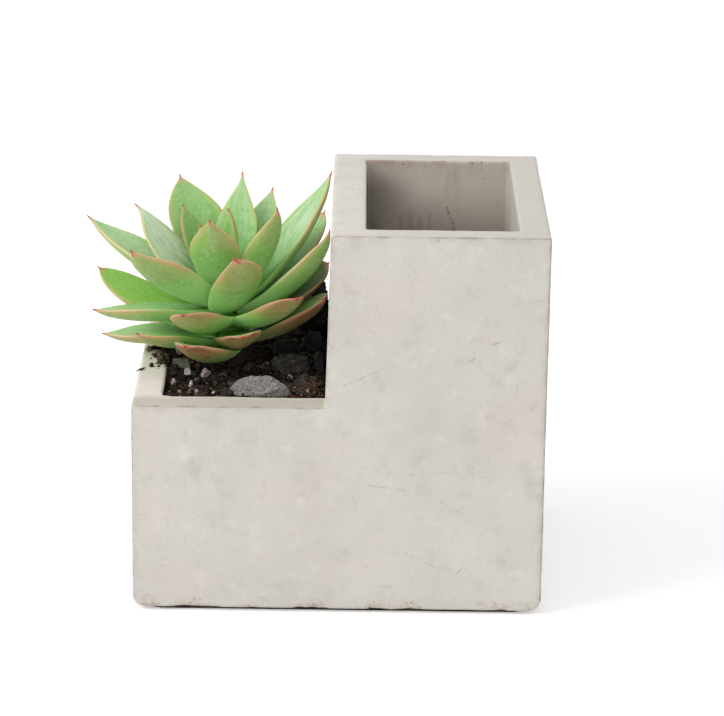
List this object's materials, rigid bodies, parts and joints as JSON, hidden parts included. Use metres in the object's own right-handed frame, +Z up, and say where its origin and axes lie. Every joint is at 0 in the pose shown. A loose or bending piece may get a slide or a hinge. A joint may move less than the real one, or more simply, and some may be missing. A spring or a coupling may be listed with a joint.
{
  "type": "desk planter",
  "caption": "L-shaped cast concrete desk planter: a rosette succulent grows in its low well, and its tall tower has an open rectangular well for pens and tools.",
  "frame": {"origin": "centre of the base pad's underside, on the desk", "axes": "+Z up, +X from the planted side to the tower, front towards -Y"},
  "size_m": [0.1388, 0.095, 0.1172],
  "materials": {
    "cast_concrete": "matt cast concrete",
    "pad_foam": "matt closed-cell foam",
    "gravel": "rough",
    "potting_mix": "rough, crumbly",
    "roots": "rough",
    "stem": "satin",
    "succulent_leaf": "waxy satin",
    "pale_granite": "rough, speckled",
    "slate": "split, matt",
    "bark": "rough"
  },
  "bodies": {
    "root": {"planter_body": "cast_concrete", "base_pad": "pad_foam", "drainage_gravel": "gravel", "potting_soil": "potting_mix", "root_ball": "roots", "plant_stem": "stem", "pale_stone": "pale_granite", "wide_slate_chip": "slate", "upright_slate_chip": "slate", "dark_slate_chip": "slate", "corner_slate_chip": "slate", "tall_slate_chip": "slate", "flat_chip": "slate", "bark_lump": "bark", "leaf_01": "succulent_leaf", "leaf_02": "succulent_leaf", "leaf_03": "succulent_leaf", "leaf_04": "succulent_leaf", "leaf_05": "succulent_leaf", "leaf_06": "succulent_leaf", "leaf_07": "succulent_leaf", "leaf_08": "succulent_leaf", "leaf_09": "succulent_leaf", "leaf_10": "succulent_leaf", "leaf_11": "succulent_leaf", "leaf_12": "succulent_leaf", "leaf_13": "succulent_leaf", "leaf_14": "succulent_leaf", "leaf_15": "succulent_leaf", "leaf_16": "succulent_leaf", "leaf_17": "succulent_leaf", "leaf_18": "succulent_leaf", "leaf_19": "succulent_leaf", "leaf_20": "succulent_leaf", "leaf_21": "succulent_leaf", "leaf_22": "succulent_leaf", "leaf_23": "succulent_leaf", "leaf_24": "succulent_leaf", "leaf_25": "succulent_leaf", "leaf_26": "succulent_leaf", "leaf_27": "succulent_leaf", "leaf_28": "succulent_leaf", "leaf_29": "succulent_leaf", "leaf_30": "succulent_leaf", "leaf_31": "succulent_leaf", "leaf_32": "succulent_leaf"}
  },
  "joints": []
}
